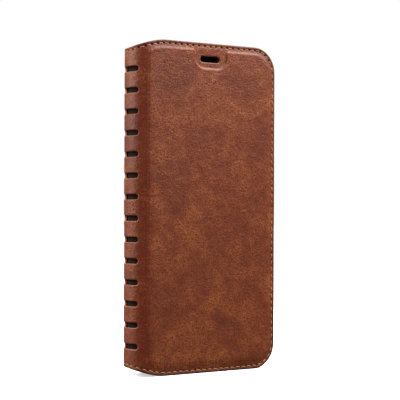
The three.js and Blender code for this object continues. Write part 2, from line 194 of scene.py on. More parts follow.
def dip(u):
    """How far the top edge has fallen, and the bottom edge risen, at u."""
    past = np.asarray(u, float) - DIP["middle"]
    t = np.clip(np.where(past < 0, -past / DIP["front_reach"], past / DIP["back_reach"]), 0, 1)
    return DIP["depth"] * 0.5 * (1 + np.cos(math.pi * t))


# ---------------------------------------------------------------- flat geometry


def arc(cx, cz, radius, start, end, steps):
    return [
        (cx + radius * math.cos(a), cz + radius * math.sin(a))
        for a in np.radians(np.linspace(start, end, steps + 1))
    ]


def resample(points, step, closed=False):
    """The same line with points about a step apart."""
    p = np.array(points, float)
    if closed:
        p = np.vstack([p, p[:1]])
    run = np.concatenate([[0], np.cumsum(np.hypot(*np.diff(p, axis=0).T))])
    keep = np.concatenate([[True], np.diff(run) > 1e-9])
    p, run = p[keep], run[keep]
    count = max(2, int(round(run[-1] / step)) + 1)
    at = np.linspace(0, run[-1], count)
    out = np.stack([np.interp(at, run, p[:, 0]), np.interp(at, run, p[:, 1])], -1)
    return out[:-1] if closed else out


def left_normals(line, closed=False):
    """Unit normals to the left of a line's direction."""
    if closed:
        d = np.roll(line, -1, 0) - np.roll(line, 1, 0)
    else:
        d = np.gradient(line, axis=0)
    n = np.stack([-d[:, 1], d[:, 0]], -1)
    return n / np.maximum(np.linalg.norm(n, axis=1), 1e-9)[:, None]


def line_distance(points, line, closed=False):
    """Distance from each point to a line."""
    a = line if not closed else np.vstack([line, line[:1]])
    p0, d = a[:-1], np.diff(a, axis=0)
    size = np.maximum((d**2).sum(1), 1e-12)
    best = np.full(len(points), 1e9)
    for start in range(0, len(points), 4000):
        q = points[start : start + 4000, None] - p0[None]
        t = np.clip((q * d).sum(-1) / size, 0, 1)
        gap = q - t[..., None] * d
        best[start : start + 4000] = np.sqrt((gap**2).sum(-1)).min(1)
    return best


def inside(points, loop):
    """Which points lie inside a closed line."""
    x, z = points[:, 0][:, None], points[:, 1][:, None]
    x0, z0 = loop[:, 0][None], loop[:, 1][None]
    x1, z1 = np.roll(loop[:, 0], -1)[None], np.roll(loop[:, 1], -1)[None]
    found = np.zeros(len(points), bool)
    for start in range(0, len(points), 4000):
        s = slice(start, start + 4000)
        cross = (z0 > z[s]) != (z1 > z[s])
        with np.errstate(divide="ignore", invalid="ignore"):
            at = x0 + (z[s] - z0) * (x1 - x0) / (z1 - z0)
        found[s] = (np.sum(cross & (x[s] < at), axis=1) % 2) == 1
    return found


def free_edge(u_split, side, inset=0.0):
    """The free edge of the cover (side -1) or the back (side 1), less an inset. It runs from the split
    along the bottom, up the far side and back along the top."""
    steps = np.linspace(0, 1, 160)
    reach = EDGE_U - CORNER
    u = side * (u_split * side + (reach - u_split * side) * steps)
    low = np.stack([u, dip(u)], -1)
    n = left_normals(low) * side
    low = low + n * inset
    radius = CORNER - inset
    corner = [(side * cu, cz) for cu, cz in arc(reach, CORNER, radius, -90, 0, 18)]
    line = np.vstack([low[:-1], corner])
    upper = line[::-1].copy()
    upper[:, 1] = HEIGHT - upper[:, 1]
    return np.vstack([line, upper])


def pill(u, z, width, height, steps=8):
    """A closed slot shape with half-round ends."""
    r = min(width, height) / 2
    w, h = width / 2 - r, height / 2 - r
    turn = 0 if h > 0 else -90
    right = arc(u + w, z + h, r, turn, turn + 180, 2 * steps)
    left = arc(u - w, z - h, r, turn + 180, turn + 360, 2 * steps)
    return np.array(right + left)


def drop(distance, radius):
    """How far a round edge of that radius falls at a distance from it."""
    d = np.clip(radius - distance, 0, radius)
    return radius - np.sqrt(np.maximum(radius**2 - d**2, 0))


def smooth(t):
    t = np.clip(t, 0, 1)
    return t * t * t * (t * (t * 6 - 15) + 10)


ROUND_STEPS = [1 - math.cos(math.radians(a)) for a in (22.5, 45, 67.5, 90)]


def grid_points(low, high, spacing):
    """A triangular grid over a box."""
    rows = np.arange(low[1], high[1], spacing * 0.87)
    parts = []
    for i, z in enumerate(rows):
        u = np.arange(low[0] + (i % 2) * spacing / 2, high[0], spacing)
        parts.append(np.stack([u, np.full_like(u, z)], -1))
    return np.vstack(parts)


def triangulate(loops, points):
    """Triangles between closed loops, the first one outside and the others holes, over those points.
    Also gives the new index of each of the loops' points, in order."""
    verts, edges = [], []
    for loop in loops:
        base = len(verts)
        verts += [Vector(map(float, p)) for p in loop]
        edges += [(base + i, base + (i + 1) % len(loop)) for i in range(len(loop))]
    count = len(verts)
    verts += [Vector(map(float, p)) for p in points]
    out_verts, _, faces, origins, _, _ = delaunay_2d_cdt(verts, edges, [], 1, 1e-6)
    new_index = [-1] * len(verts)
    for new, olds in enumerate(origins):
        for old in olds:
            new_index[old] = new
    place = np.array([tuple(v) for v in out_verts])
    faces = np.array([f for f in faces if len(f) == 3])
    middle = place[faces].mean(1)
    keep = inside(middle, np.array(loops[0], float))
    for hole in loops[1:]:
        keep &= ~inside(middle, np.array(hole, float))
    return place, faces[keep], new_index[:count]


# ---------------------------------------------------------------- slabs of leather and cloth


UNDERSIDE_SHIFT = 5.0  # moves the texture of a sheet's plain side off that of its fine side


class Slab:
    """A sheet with a thickness, laid out flat between closed loops."""

    def __init__(self, name, outer_loop, holes=(), place=on_wrap):
        self.name = name
        self.loop = np.array(outer_loop, float)
        self.holes = [np.array(h, float) for h in holes]
        self.place = place
        self.facing = 1  # 1 if the fine side faces out of the case, -1 if it faces in
        self.free = None  # the part of the loop that has a round edge; all of it if None
        self.round = 0.3
        self.hole_round = 0.2
        self.spacing = 1.3
        self.inner_spacing = 3.0
        self.lines = []  # (line, [offsets], step): rows of points beside a line
        self.spots = []  # extra points
        self.outer = lambda p, edge, hole: np.zeros(len(p))
        self.inner = lambda p, edge, hole: np.full(len(p), LEATHER)
        self.marks = {}  # attribute name to a function like outer

    def edge_distance(self, p):
        if self.free is None:
            return line_distance(p, self.loop, True)
        return line_distance(p, self.free)

    def hole_distance(self, p):
        if not self.holes:
            return np.full(len(p), 1e3)
        return np.min([line_distance(p, h, True) for h in self.holes], axis=0)

    def rows(self):
        """The fixed points near edges, holes and feature lines."""
        parts = []
        free, closed = (self.loop, True) if self.free is None else (self.free, False)
        inward = left_normals(free, closed)
        if not inside(free[len(free) // 2][None] + inward[len(free) // 2][None] * 0.4, self.loop)[0]:
            inward = -inward
        for share in ROUND_STEPS:
            parts.append(free + inward * share * self.round)
        for extra in (self.round + RIM_FADE, RIM, RIM + RIM_FADE):
            parts.append(free[::2] + inward[::2] * extra)
        for hole in self.holes:
            away = -left_normals(hole, True)
            for share in ROUND_STEPS:
                parts.append(hole + away * share * self.hole_round)
            parts.append(hole[::2] + away[::2] * (self.hole_round + 0.4))
        for line, offsets, step in self.lines:
            even = resample(line, step)
            n = left_normals(even)
            for offset in offsets:
                parts.append(even + n * offset)
        if len(self.spots):
            parts.append(np.array(self.spots, float))
        return np.vstack(parts)

    def fill(self, fixed, spacing):
        """The fixed points that lie inside, and a grid in what is left."""
        low, high = self.loop.min(0), self.loop.max(0)
        grid = grid_points(low, high, spacing)
        grid = grid[inside(grid, self.loop)]
        edge = np.minimum(line_distance(grid, self.loop, True), self.hole_distance(grid))
        grid = grid[edge > spacing * 0.45]
        for hole in self.holes:
            grid = grid[~inside(grid, hole)]
        if fixed is None:
            return grid
        ok = inside(fixed, self.loop)
        for hole in self.holes:
            ok &= ~inside(fixed, hole)
        fixed = fixed[ok]
        edge = np.minimum(line_distance(fixed, self.loop, True), self.hole_distance(fixed))
        fixed = fixed[edge > 0.012]
        cell = spacing * 0.5
        taken = set(map(tuple, np.floor(fixed / cell).astype(int)))
        near = [
            any((i + a, k + b) in taken for a in (-1, 0, 1) for b in (-1, 0, 1))
            for i, k in np.floor(grid / cell).astype(int)
        ]
        return np.vstack([fixed, grid[~np.array(near)]])

    def build(self, materials, hole_material=0):
        """The sheet as an object: its fine side, its plain side, and the walls between them."""
        loops = [self.loop, *self.holes]
        fine = self.fill(self.rows(), self.spacing)
        p, faces, border = triangulate(loops, fine)
        q, under, inner_border = triangulate(loops, self.fill(None, self.inner_spacing))
        edge_p, hole_p = self.edge_distance(p), self.hole_distance(p)
        edge_q, hole_q = self.edge_distance(q), self.hole_distance(q)
        top = self.outer(p, edge_p, hole_p)
        top = top + self.facing * (drop(edge_p, self.round) + drop(hole_p, self.hole_round))
        bottom = self.inner(q, edge_q, hole_q)
        flat = np.vstack([p, q])
        co = np.vstack([self.place(p[:, 0], p[:, 1], top), self.place(q[:, 0], q[:, 1], bottom)])
        polys = [tuple(f) for f in faces]
        slots = [0] * len(polys)
        offset = len(p)
        polys += [(offset + f[0], offset + f[2], offset + f[1]) for f in under]
        slots += [0] * len(under)
        start = 0
        for k, loop in enumerate(loops):
            n = len(loop)
            ring = list(range(start, start + n))
            for i in range(n):
                a, b = ring[i], ring[(i + 1) % n]
                quad = (border[b], border[a], offset + inner_border[a], offset + inner_border[b])
                polys.append(quad)
                slots.append(hole_material if k else 0)
            start += n
        mesh = bpy.data.meshes.new(self.name)
        mesh.from_pydata(co.tolist(), [], polys)
        mesh.update()
        for m in materials:
            mesh.materials.append(m)
        mesh.polygons.foreach_set("material_index", slots)
        layout = mesh.attributes.new("layout", "FLOAT_VECTOR", "POINT")
        side = np.concatenate([np.zeros(len(p)), np.full(len(q), UNDERSIDE_SHIFT)])
        layout.data.foreach_set("vector", np.column_stack([flat, side]).astype(np.float32).ravel())
        for mark, value in self.marks.items():
            attribute = mesh.attributes.new(mark, "FLOAT", "POINT")
            values = np.concatenate([value(p, edge_p, hole_p), value(q, edge_q, hole_q)])
            attribute.data.foreach_set("value", values.astype(np.float32))
        return finish_mesh(self.name, mesh)


def finish_mesh(name, mesh, sharp=40):
    """An object with outward normals, whichever way its loops ran, and smooth but for sharp edges."""
    bm = bmesh.new()
    bm.from_mesh(mesh)
    bmesh.ops.recalc_face_normals(bm, faces=bm.faces)
    bm.to_mesh(mesh)
    bm.free()
    mesh.shade_smooth()
    mesh.set_sharp_from_angle(angle=math.radians(sharp))
    piece = bpy.data.objects.new(name, mesh)
    bpy.context.scene.collection.objects.link(piece)
    return piece


# ---------------------------------------------------------------- materials


class Nodes:
    """A small helper for node trees."""

    def __init__(self, name):
        self.material = bpy.data.materials.new(name)
        self.material.use_nodes = True
        self.tree = self.material.node_tree
        self.shader = self.tree.nodes["Principled BSDF"]

    def add(self, kind, inputs=None, **settings):
        node = self.tree.nodes.new(kind)
        for key, value in settings.items():
            setattr(node, key, value)
        for key, value in (inputs or {}).items():
            self.put(node.inputs[key], value)
        return node

    def put(self, socket, value):
        if isinstance(value, bpy.types.NodeSocket):
            self.tree.links.new(value, socket)
        else:
            socket.default_value = value

    def set(self, **values):
        for key, value in values.items():
            self.put(self.shader.inputs[key.replace("_", " ")], value)

    def noise(self, vector, scale, detail=2.0, roughness=0.5, distortion=0.0):
        inputs = {
            "Vector": vector,
            "Scale": scale,
            "Detail": detail,
            "Roughness": roughness,
            "Distortion": distortion,
        }
        return self.add("ShaderNodeTexNoise", inputs).outputs["Fac"]

    def ramp(self, value, *stops):
        """A colour ramp. Each stop is a position and a colour, or a number for a grey."""
        node = self.add("ShaderNodeValToRGB", {"Fac": value})
        elements = node.color_ramp.elements
        while len(elements) < len(stops):
            elements.new(0.5)
        for element, (at, colour) in zip(elements, stops):
            element.position = at
            element.color = (*colour, 1) if hasattr(colour, "__len__") else (colour,) * 3 + (1,)
        return node.outputs["Color"]

    def mix(self, fac, a, b):
        node = self.add("ShaderNodeMix", data_type="RGBA")
        self.put(node.inputs["Factor"], fac)
        self.put(node.inputs[6], a)
        self.put(node.inputs[7], b)
        return node.outputs[2]

    def math(self, operation, a, b=0.0):
        node = self.add("ShaderNodeMath", operation=operation)
        self.put(node.inputs[0], a)
        self.put(node.inputs[1], b)
        return node.outputs[0]

    def attribute(self, name, output="Fac"):
        return self.add("ShaderNodeAttribute", attribute_name=name).outputs[output]

    def bump(self, height, distance, strength=1.0, normal=None):
        inputs = {"Height": height, "Distance": distance, "Strength": strength}
        if normal is not None:
            inputs["Normal"] = normal
        return self.add("ShaderNodeBump", inputs).outputs["Normal"]


def srgb(r, g, b):
    """A colour given in display values of 0 to 255, as linear."""
    values = [v / 255 for v in (r, g, b)]
    return tuple(v / 12.92 if v <= 0.04045 else ((v + 0.055) / 1.055) ** 2.4 for v in values)


SPECK_SHADE, VALLEY_SHADE = 0.5, 0.55  # how dark the grain's specks and valleys are
# The colour of the painted shade beside the folds, and the dark edge paint, whose mask adds painted shade
# towards the bottom.
FOLD_SHADE_COLOUR, EDGE_PAINT_AND_SHADE = srgb(106, 38, 18), srgb(64, 34, 23)
# Pale cut edges, and the painted shade in the needle holes.
CUT_FIBRE, NEEDLE_HOLE_SHADE = srgb(164, 104, 72), srgb(26, 12, 8)


def leather_material(name, light, dark, deep):
    """Pull-up leather: cloudy colour, a fine pebbled grain, a band of painted shade beside the folds,
    dark edge paint with painted shade that darkens it towards the bottom, paler cut edges and painted
    shade in the needle holes. Texture scales are in features per millimetre."""
    m = Nodes(name)
    place = m.attribute("layout", "Vector")
    clouds = m.noise(place, 0.05, 3, 0.55, 0.6)
    patches = m.noise(place, 0.19, 3, 0.6, 0.3)
    specks = m.noise(place, 1.05, 2, 0.6)
    cloud = m.math("ADD", m.math("MULTIPLY", clouds, 0.62), m.math("MULTIPLY", patches, 0.38))
    colour = m.ramp(cloud, (0.36, deep), (0.49, dark), (0.62, light))
    speck_colour = (*[c * SPECK_SHADE for c in dark], 1)
    colour = m.mix(m.ramp(specks, (0.36, 1.0), (0.56, 0.0)), colour, speck_colour)
    cells = m.add("ShaderNodeTexVoronoi", {"Vector": place, "Scale": 1.55}, feature="F1")
    pores = cells.outputs["Distance"]
    creases = m.add("ShaderNodeTexVoronoi", {"Vector": place, "Scale": 1.1}, feature="DISTANCE_TO_EDGE")
    valley = m.ramp(creases.outputs["Distance"], (0.0, 1.0), (0.16, 0.0))
    valley_colour = (*[c * VALLEY_SHADE for c in dark], 1)
    colour = m.mix(m.math("MULTIPLY", valley, 0.42), colour, valley_colour)
    # Painted shade: the band beside each fold is made darker and redder, broken by specks, where the
    # shoulder turns away from the lamps.
    fold_shade_specks = m.math("MULTIPLY", m.attribute("fold_shade"), m.ramp(specks, (0.42, 1.0), (0.58, 0.45)))
    fold_shade_amount = m.math("MULTIPLY", fold_shade_specks, m.ramp(patches, (0.35, 0.95), (0.65, 0.5)))
    colour = m.mix(fold_shade_amount, colour, (*FOLD_SHADE_COLOUR, 1))
    # Dark edge paint, which the mask on the skins makes darker towards the bottom as painted shade.
    colour = m.mix(m.math("MULTIPLY", m.attribute("dark_edge"), 0.85), colour, (*EDGE_PAINT_AND_SHADE, 1))
    colour = m.mix(m.math("MULTIPLY", m.attribute("cut"), 0.9), colour, (*CUT_FIBRE, 1))
    # Painted shade in the needle holes.
    colour = m.mix(m.attribute("hole"), colour, (*NEEDLE_HOLE_SHADE, 1))
    m.set(Base_Color=colour)
    rough = m.math("MULTIPLY_ADD", patches, 0.15)
    rough.node.inputs[2].default_value = 0.31
    m.set(Roughness=rough)
    m.shader.inputs["Specular IOR Level"].default_value = 0.19
    fine = m.math("ADD", m.math("MULTIPLY", pores, 0.6), m.math("MULTIPLY", specks, 0.9))
    fine = m.math("SUBTRACT", fine, m.math("MULTIPLY", valley, 0.5))
    soft = m.bump(patches, 0.0009, 0.35)
    m.set(Normal=m.bump(fine, 0.00017, 0.6, soft))
    return m.material


LIGHT, DARK, DEEP = srgb(146, 79, 43), srgb(122, 60, 35), srgb(101, 46, 30)
LEATHER_LOOK = leather_material("pull_up_leather", LIGHT, DARK, DEEP)
POCKET_LIGHT, POCKET_DARK, POCKET_DEEP = srgb(124, 66, 40), srgb(106, 52, 33), srgb(88, 40, 27)
POCKET_LOOK = leather_material("pocket_leather", POCKET_LIGHT, POCKET_DARK, POCKET_DEEP)


def raw_edge_material():
    """The cut side of the leather at the slots: pale fibres with darker streaks."""
    m = Nodes("cut_leather")
    place = m.attribute("layout", "Vector")
    fibre = m.noise(place, 2.2, 4, 0.7)
    m.set(Base_Color=m.ramp(fibre, (0.3, srgb(128, 80, 54)), (0.7, srgb(182, 130, 96))))
    m.set(Roughness=m.ramp(fibre, (0.3, 0.7), (0.7, 0.9)))
    m.set(Normal=m.bump(fibre, 0.0002, 0.6))
    return m.material


def lining_material():
    """A brushed dark cloth."""
    m = Nodes("lining_cloth")
    place = m.attribute("layout", "Vector")
    nap = m.noise(place, 0.9, 4, 0.7)
    pile = m.noise(place, 5.0, 2, 0.6)
    colour = m.ramp(nap, (0.35, srgb(17, 10, 7)), (0.65, srgb(33, 20, 14)))
    m.set(Base_Color=m.mix(m.ramp(pile, (0.4, 0.5), (0.6, 0.0)), colour, (*srgb(16, 9, 7), 1)))
    m.set(Roughness=m.ramp(nap, (0.3, 0.82), (0.7, 0.95)))
    m.shader.inputs["Specular IOR Level"].default_value = 0.12
    m.shader.inputs["Sheen Weight"].default_value = 0.04
    m.shader.inputs["Sheen Roughness"].default_value = 0.5
    m.shader.inputs["Sheen Tint"].default_value = (*srgb(140, 110, 95), 1)
    m.set(Normal=m.bump(pile, 0.00012, 0.5))
    return m.material


def thread_material():
    """Twisted waxed thread."""
    m = Nodes("waxed_thread")
    place = m.attribute("layout", "Vector")
    twist = {"Vector": place, "Scale": 1.0, "Distortion": 0.4}
    ply = m.add("ShaderNodeTexWave", twist, bands_direction="X")
    wear = m.noise(place, 0.35, 2)
    colour = m.ramp(wear, (0.3, srgb(182, 121, 76)), (0.7, srgb(210, 153, 106)))
    colour = m.mix(m.math("MULTIPLY", ply.outputs["Fac"], 0.35), colour, (*srgb(150, 96, 60), 1))
    m.set(Base_Color=colour, Roughness=m.ramp(wear, (0.3, 0.5), (0.7, 0.7)))
    m.set(Normal=m.bump(ply.outputs["Fac"], 0.0001, 0.6))
    return m.material


def object_material(name, low, high, scale, rough, bump=0.0001, metal=0.0):
    """A plain stuff with fine mottling between two colours, placed by the object's own coordinates."""
    m = Nodes(name)
    place = m.add("ShaderNodeTexCoord").outputs["Object"]
    grain = m.noise(place, scale, 4, 0.65)
    m.set(Base_Color=m.ramp(grain, (0.3, srgb(*low)), (0.7, srgb(*high))))
    m.set(Roughness=m.ramp(grain, (0.3, rough[0]), (0.7, rough[1])))
    m.shader.inputs["Metallic"].default_value = metal
    m.set(Normal=m.bump(grain, bump, 0.4))
    return m.material


CUT_LOOK = raw_edge_material()
LINING_LOOK = lining_material()
THREAD_LOOK = thread_material()
SHELL_LOOK = object_material("soft_shell", (20, 18, 18), (29, 26, 26), 1500, (0.42, 0.55), 0.00005)
SHELL_LOOK.node_tree.nodes["Principled BSDF"].inputs["Specular IOR Level"].default_value = 0.35
BOARD_LOOK = object_material("fibre_board", (62, 47, 37), (88, 70, 56), 700, (0.85, 0.95))
NICKEL = ((150, 152, 156), (190, 192, 196))
MAGNET_LOOK = object_material("plated_magnet", *NICKEL, 400, (0.25, 0.4), 0.00002, 1.0)
TAPE_LOOK = object_material("bonding_tape", (26, 24, 24), (38, 35, 34), 900, (0.6, 0.8))
FOAM_LOOK = object_material("pad_foam", (50, 50, 52), (72, 72, 74), 1600, (0.9, 1.0), 0.0003)

# ---------------------------------------------------------------- the leather wrap


def wrap_loop(u_split, side, step=0.8):
    """The closed outline of one piece of the wrap, and its free edge."""
    free = resample(free_edge(u_split, side), step)
    rows = resample([free[-1], free[0]], 0.9)[1:-1]
    return np.vstack([free, rows]), free


def pad_outline(shrink=0.0):
    """The raised panel of the cover, less a margin, with the thumb recess in its top edge."""
    left, right = u_at_x(PAD["left"]) - shrink, u_at_x(PAD["right"]) + shrink
    edge = PAD["edge"] + shrink
    radius = CORNER - edge
    turn = max(PAD["turn"] - shrink, 0.6)
    level = HEIGHT - edge
    line = [(u, level - float(dip(u))) for u in np.linspace(left, right + radius, 90)]
    middle = u_at_x(PHONE_X + RECESS_SHIFT)
    half, floor, r = RECESS["half"] + shrink, RECESS["floor"] - shrink, RECESS["corner"] + shrink
    lip = max(RECESS["lip"] - shrink, 0.2)
    notch = (
        arc(middle + half + lip, level - lip, lip, 90, 180, 5)
        + arc(middle + half - r, floor + r, r, 0, -90, 10)
        + arc(middle - half + r, floor + r, r, -90, -180, 10)
        + arc(middle - half - lip, level - lip, lip, 0, 90, 5)
    )
    start = line[0]
    run = [q for q in line if q[0] < start[0] - turn]
    before = [q for q in run if q[0] > middle + half + lip]
    after = [q for q in run if q[0] < middle - half - lip]
    spine_corner = arc(start[0] - turn, start[1] - turn, turn, 0, 90, 6)
    free_corner = arc(right + radius, level - radius, radius, 90, 180, 12)
    low_line = [(u, HEIGHT - z) for u, z in run]
    low_corners = [[(u, HEIGHT - z) for u, z in c] for c in (spine_corner, free_corner)]
    upper = spine_corner + before + notch + after + free_corner
    lower = low_corners[1][::-1] + low_line[::-1] + low_corners[0][::-1]
    return resample(upper + lower, 0.7, True)


def stitch_run(line, first=0.0):
    """(start, end) distances of each stitch along a line."""
    length = np.hypot(*np.diff(line, axis=0).T).sum()
    starts = [first + i * STITCH_PITCH for i in range(int((length - first) // STITCH_PITCH))]
    return [(a + STITCH_GAP / 2, a + STITCH_PITCH - STITCH_GAP / 2) for a in starts]


def along(line, s):
    """The points at distances s along a line."""
    run = np.concatenate([[0], np.cumsum(np.hypot(*np.diff(line, axis=0).T))])
    return np.stack([np.interp(s, run, line[:, 0]), np.interp(s, run, line[:, 1])], -1)


def hole_spots(seam, stitches):
    """Where the needle went through, between each two stitches, and points round each hole."""
    centres = along(seam, np.array([a - STITCH_GAP / 2 for a, _ in stitches]))
    turns = np.linspace(0, 2 * math.pi, 9)[:-1]
    ring = [(r * math.cos(a), r * math.sin(a)) for r in (0.18, 0.36, 0.58) for a in turns]
    spots = [tuple(c) for c in centres] + [(c[0] + x, c[1] + z) for c in centres for x, z in ring]
    return centres, spots


def hole_size(p):
    """The needle holes, with the painted shade in them, are largest along the top edge, smaller along the
    bottom and smallest down the free edge."""
    u, z = np.abs(p[:, 0]), p[:, 1]
    low = np.where((u > EDGE_U - HOLE["reach"]) & (z > HOLE["reach"]), HOLE["side"], HOLE["bottom"])
    return np.where(z > HEIGHT - HOLE["reach"], HOLE["top"], low)


def spot_distance(p, centres):
    """Distance from each point to the nearest of some centres."""
    out = np.full(len(p), 1e3)
    for start in range(0, len(p), 4000):
        gap = p[start : start + 4000, None] - centres[None]
        out[start : start + 4000] = np.sqrt((gap**2).sum(-1)).min(1)
    return out


def waviness(p):
    """The slow unevenness of a skin drawn over board, up to 0.07 mm either way."""
    u, z = p[:, 0], p[:, 1]
    across = np.sin(u * 0.21 + 1.3 * np.sin(z * 0.05))
    upwards = np.sin(z * 0.13 + 0.7 * np.sin(u * 0.11))
    return 0.035 * (across + upwards)


def stitch_mesh(name, runs):
    """Stitches, each a short rounded strand that rises from one hole and goes down the next. A run is
    (seam, stitches, place, surface, facing)."""
    verts, faces, layout = [], [], []
    steps, sides = 9, 8
    t = np.linspace(0, 1, steps)
    rise = 0.14 * np.sin(math.pi * t) ** 0.55 - 0.22 * (1 - np.sin(math.pi * t)) ** 2
    radius = THREAD_RADIUS * np.clip(np.sin(math.pi * np.clip(t, 0.06, 0.94)) ** 0.25, 0.45, 1)
    for seam, stitches, place, surface, facing in runs:
        flat = []
        for a, b in stitches:
            lean = random.uniform(-0.05, 0.05)
            base = along(seam, a - 0.1 + (b - a + 0.2) * t)
            n = left_normals(base)
            base = base + n * (lean + 0.12 * (t - 0.5))[:, None]
            level = surface(base)
            start = len(verts) + len(flat)
            for i in range(steps):
                for k in range(sides):
                    angle = 2 * math.pi * k / sides
                    at = base[i] + n[i] * radius[i] * math.cos(angle)
                    depth = level[i] - facing * (rise[i] + radius[i] * 0.8 * math.sin(angle))
                    flat.append((at[0], at[1], depth))
                    layout.append((a * 0.6 + i * 1.3 + k * 0.45, a, 0))
            for i in range(steps - 1):
                for k in range(sides):
                    p, q = start + i * sides + k, start + i * sides + (k + 1) % sides
                    faces.append((p, q, q + sides, p + sides))
            faces.append(tuple(start + k for k in range(sides))[::-1])
            faces.append(tuple(start + (steps - 1) * sides + k for k in range(sides)))
        v = np.array(flat)
        verts += place(v[:, 0], v[:, 1], v[:, 2]).tolist()
    mesh = bpy.data.meshes.new(name)
    mesh.from_pydata(verts, [], faces)
    mesh.update()
    attribute = mesh.attributes.new("layout", "FLOAT_VECTOR", "POINT")
    attribute.data.foreach_set("vector", np.array(layout, np.float32).ravel())
    mesh.materials.append(THREAD_LOOK)
    made = finish_mesh(name, mesh, 60)
    return made


PAD_LINE = pad_outline()
SEAM_LINES = {side: free_edge(SPLIT_U, side, SEAM_INSET) for side in (-1, 1)}


def within_pad(p):
    """Distance inside the raised panel's line, negative outside it."""
    return line_distance(p, PAD_LINE, True) * np.where(inside(p, PAD_LINE), 1, -1)


def pad_height(p):
    """How far the skin stands out over the padding."""
    low = 1 - smooth(p[:, 1] / SLACK["low_reach"])
    free = smooth((np.abs(p[:, 0]) - EDGE_U + SLACK["free_start"]) / SLACK["free_reach"])
    bevel = PAD["bevel"] + np.maximum(SLACK["low"] * low, SLACK["free"] * free)
    return (PAD_RAISE + PAD_SWELL) * smooth(within_pad(p) / bevel + BEVEL_SHARE)


def rim_depth(p, edge, hole):
    """The leather is doubled at the edges of the covers, and single over the spine."""
    away = smooth((np.abs(p[:, 0]) - FOLD_U - 0.3) / 1.8)
    near = 1 - smooth((edge - RIM) / RIM_FADE)
    return LEATHER + (RIM_DEPTH - LEATHER) * away * near


def padded_depth(p, edge, hole):
    """The inner side of the cover's skin, lifted where the foam lies under it."""
    return rim_depth(p, edge, hole) - FOAM["lift"] * smooth((within_pad(p) - 0.3) / 1.2)


def skin_surface(seam, centres, padded):
    """The depth of the skin's face."""

    def depth(p, edge=None, hole=None):
        groove = GROOVE["depth"] * np.exp(-((line_distance(p, seam) / GROOVE["half"]) ** 2))
        pits = PIT_DEPTH * np.exp(-((spot_distance(p, centres) / hole_size(p)) ** 2))
        lift = pad_height(p) if padded else 0
        return groove + pits - lift + waviness(p)

    return depth


def edge_paint_and_shade_mark(p, edge, hole):
    """Dark edge paint along the edges, with painted shade that makes it darker towards the bottom."""
    noise = 0.5 + 0.5 * np.sin(p[:, 0] * 1.3 + 2 * np.sin(p[:, 1] * 0.9))
    # Painted shade: the edge colour gets darker towards the bottom.
    bottom_shade = 1.0 - 0.55 * smooth(p[:, 1] / HEIGHT)
    return bottom_shade * np.clip(1.6 * (1 - edge / (1.25 + 0.3 * noise)), 0, 1)


def fold_shade_mark(p, edge, hole):
    """The band beside each fold where the colour is painted darker and redder: painted shade on the
    shoulder that turns away from the lamps.
    """
    return np.exp(-(((np.abs(p[:, 0]) - FOLD_SHADE_BAND["middle"]) / FOLD_SHADE_BAND["half"]) ** 4))


def skin(name, side, holes, seam_first):
    """One piece of the wrap's leather, with its stitches on both faces."""
    seam = SEAM_LINES[side]
    stitches = stitch_run(seam, seam_first)
    centres, spots = hole_spots(seam, stitches)
    loop, free = wrap_loop(SPLIT_U, side)
    piece = Slab(name, loop, holes)
    piece.free = free
    piece.round = 0.5
    piece.hole_round = 0.42
    piece.spots = spots
    piece.lines = [(seam, (-0.75, -0.45, -0.2, 0.2, 0.45, 0.75), 0.7)]
    if side < 0:
        closed = np.vstack([PAD_LINE, PAD_LINE[:1]])
        piece.lines.append((closed, (-0.8, -0.5, -0.25, 0, 0.25, 0.5, 0.8, 1.15), 0.6))
    surface = skin_surface(seam, centres, side < 0)
    piece.outer = surface
    piece.inner = padded_depth if side < 0 else rim_depth
    piece.marks = {
        # dark edge paint, with painted shade towards the bottom
        "dark_edge": edge_paint_and_shade_mark,
        # painted shade in the band beside each fold
        "fold_shade": fold_shade_mark,
        "cut": lambda p, edge, hole: np.clip(1.3 - hole / 0.16, 0, 1),
        # painted shade in the needle holes
        "hole": lambda p, edge, hole: np.exp(-((spot_distance(p, centres) / hole_size(p) / 1.1) ** 4)),
    }
    made = piece.build([LEATHER_LOOK, CUT_LOOK], hole_material=1)
    inner_face = front_inner_face if side < 0 else back_inner_face
    covers = [s for s in stitches if abs(along(seam, np.array([s[0]]))[0, 0]) > FOLD_U + 4]
    runs = [(seam, stitches, on_wrap, surface, 1), (seam, covers, on_wrap, inner_face, -1)]
    return made, stitch_mesh(name.replace("skin", "stitches"), runs)


def lining_depth(extra):
    """A lining lies under the board of its cover, rises to the skin at the fold and lies deeper again
    behind the slots."""

    def depth(p, edge=None, hole=None):
        away = smooth((np.abs(p[:, 0]) - FOLD_U - 0.3) / 3.4)
        spine = 1 - smooth((np.abs(p[:, 0]) - 5) / 6)
        return LINING_DEPTH["fold"] + LINING_DEPTH["board"] * away + LINING_DEPTH["spine"] * spine + extra

    return depth


def front_inner_face(p):
    """The depth of what is seen inside the cover: its lining, or the topmost pocket."""
    depth = lining_depth(LINING)(p)
    for layer in [CASH, *CARDS]:
        covered = (p[:, 0] < u_at_x(layer["left"])) & (p[:, 1] < layer["top"])
        depth = np.where(covered, layer["depth"][1], depth)
    return depth


def back_inner_face(p):
    return lining_depth(LINING)(p)


slot_loops = []
for i in range(SLOT_COUNT):
    z = HEIGHT / 2 + (i - (SLOT_COUNT - 1) / 2) * SLOT_PITCH
    slot_loops.append(resample(pill(0, z, 2 * SLOT_U, SLOT_HEIGHT), 0.42, True))


def earpiece_loop(middle, clearance, step):
    """The earpiece slot, grown by a clearance."""
    width, height = EARPIECE["width"] + 2 * clearance, EARPIECE["height"] + 2 * clearance
    return resample(pill(middle, EARPIECE["z"], width, height), step, True)


def camera_loop(step):
    window = CAMERA_WINDOW
    u = u_at_x(window["x"], False)
    return resample(pill(u, window["z"], window["width"], window["height"]), step, True)


